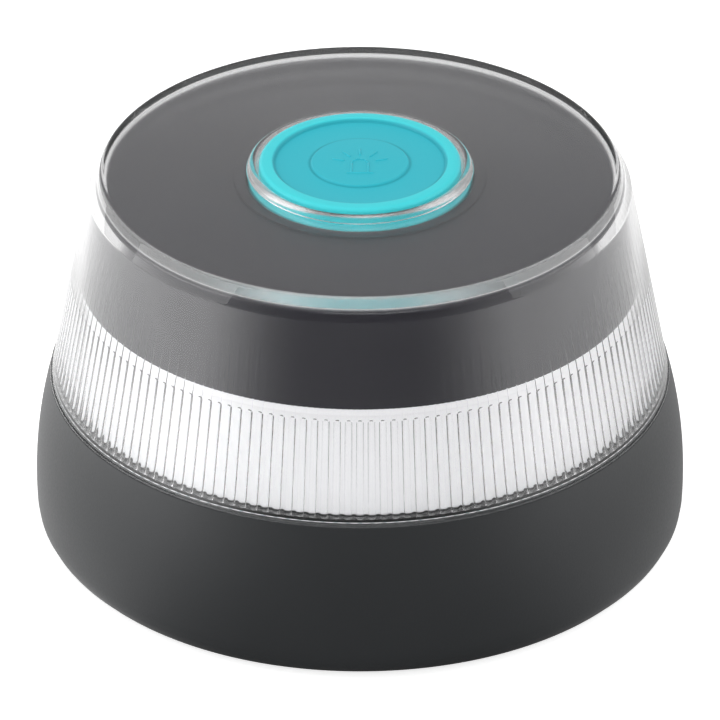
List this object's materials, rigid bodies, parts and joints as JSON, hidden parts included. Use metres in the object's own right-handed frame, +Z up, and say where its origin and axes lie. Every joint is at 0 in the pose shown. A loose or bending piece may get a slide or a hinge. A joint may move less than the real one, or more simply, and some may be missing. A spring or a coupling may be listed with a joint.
{
  "type": "roadside hazard beacon",
  "caption": "Squat cone-shaped magnetic roadside light with a clear ribbed lens band, dark cap and base, and a raised round push button on top.",
  "frame": {"origin": "centre of the surface the beacon stands on, under its rubber foot", "axes": "+Z up, along the beacon's axis and towards the button; -Y towards the viewer's side, +X to the viewer's right"},
  "size_m": [0.09, 0.09, 0.0566],
  "materials": {
    "dark_housing": "fine satin texture",
    "dark_shroud": "smooth satin",
    "black_rubber": "matte",
    "nickel_plate": "bright nickel plate",
    "black_moulding": "moulded, fine grain",
    "white_moulding": "moulded, smooth",
    "white_diffuser": "smooth opal white",
    "cell_jacket": "glossy plain sleeve",
    "circuit_board": "green solder mask",
    "strip_board": "white solder mask",
    "shield_can": "tinned",
    "chip_package": "matte epoxy",
    "capacitor_can": "satin",
    "ferrite": "matte",
    "amber_led": "clear amber resin",
    "ceramic_patch": "matte ceramic with a silvered top",
    "clear_lens": "clear polished polycarbonate",
    "teal_rubber": "satin silicone",
    "switch_body": "matte",
    "switch_plunger": "moulded",
    "steel_screw": "zinc plated"
  },
  "bodies": {
    "base": {"base_housing": "dark_housing", "foot_ring": "black_rubber", "magnets": "nickel_plate", "battery_cradle": "black_moulding", "battery_cell_1": "cell_jacket", "battery_cell_2": "cell_jacket", "battery_cell_3": "cell_jacket", "contact_plates": "nickel_plate", "contact_springs": "nickel_plate", "main_board": "circuit_board", "modem_module": "shield_can", "microcontroller": "chip_package", "sim_chip": "chip_package", "storage_capacitor_1": "capacitor_can", "storage_capacitor_2": "capacitor_can", "power_inductor": "ferrite", "board_link": "chip_package", "led_drum": "white_moulding", "light_strip": "strip_board", "leds": "amber_led", "top_board": "circuit_board", "satellite_antenna": "ceramic_patch", "diffuser_carrier": "black_moulding", "diffuser_ring": "white_diffuser", "shroud": "dark_shroud", "lens": "clear_lens", "lens_seal": "black_rubber", "button_seal": "black_rubber", "button_switch": "switch_body", "board_screws": "steel_screw", "drum_screws": "steel_screw", "top_screws": "steel_screw"},
    "button": {"button_cap": "teal_rubber", "switch_plunger": "switch_plunger"},
    "battery_cover": {"battery_cover": "dark_housing", "cover_seal": "black_rubber"}
  },
  "joints": [
    {"name": "button_press", "type": "slide", "parent": "base", "child": "button", "axis": [0, 0, -1], "range_m": [0, 0.0008], "stiffness_N_per_m": 3000, "springref_m": -0.0003},
    {"name": "cover_turn", "type": "hinge", "parent": "base", "child": "battery_cover", "pos_m": [0, 0, 0.0015], "axis": [0, 0, 1], "range_deg": [0, 32]}
  ]
}
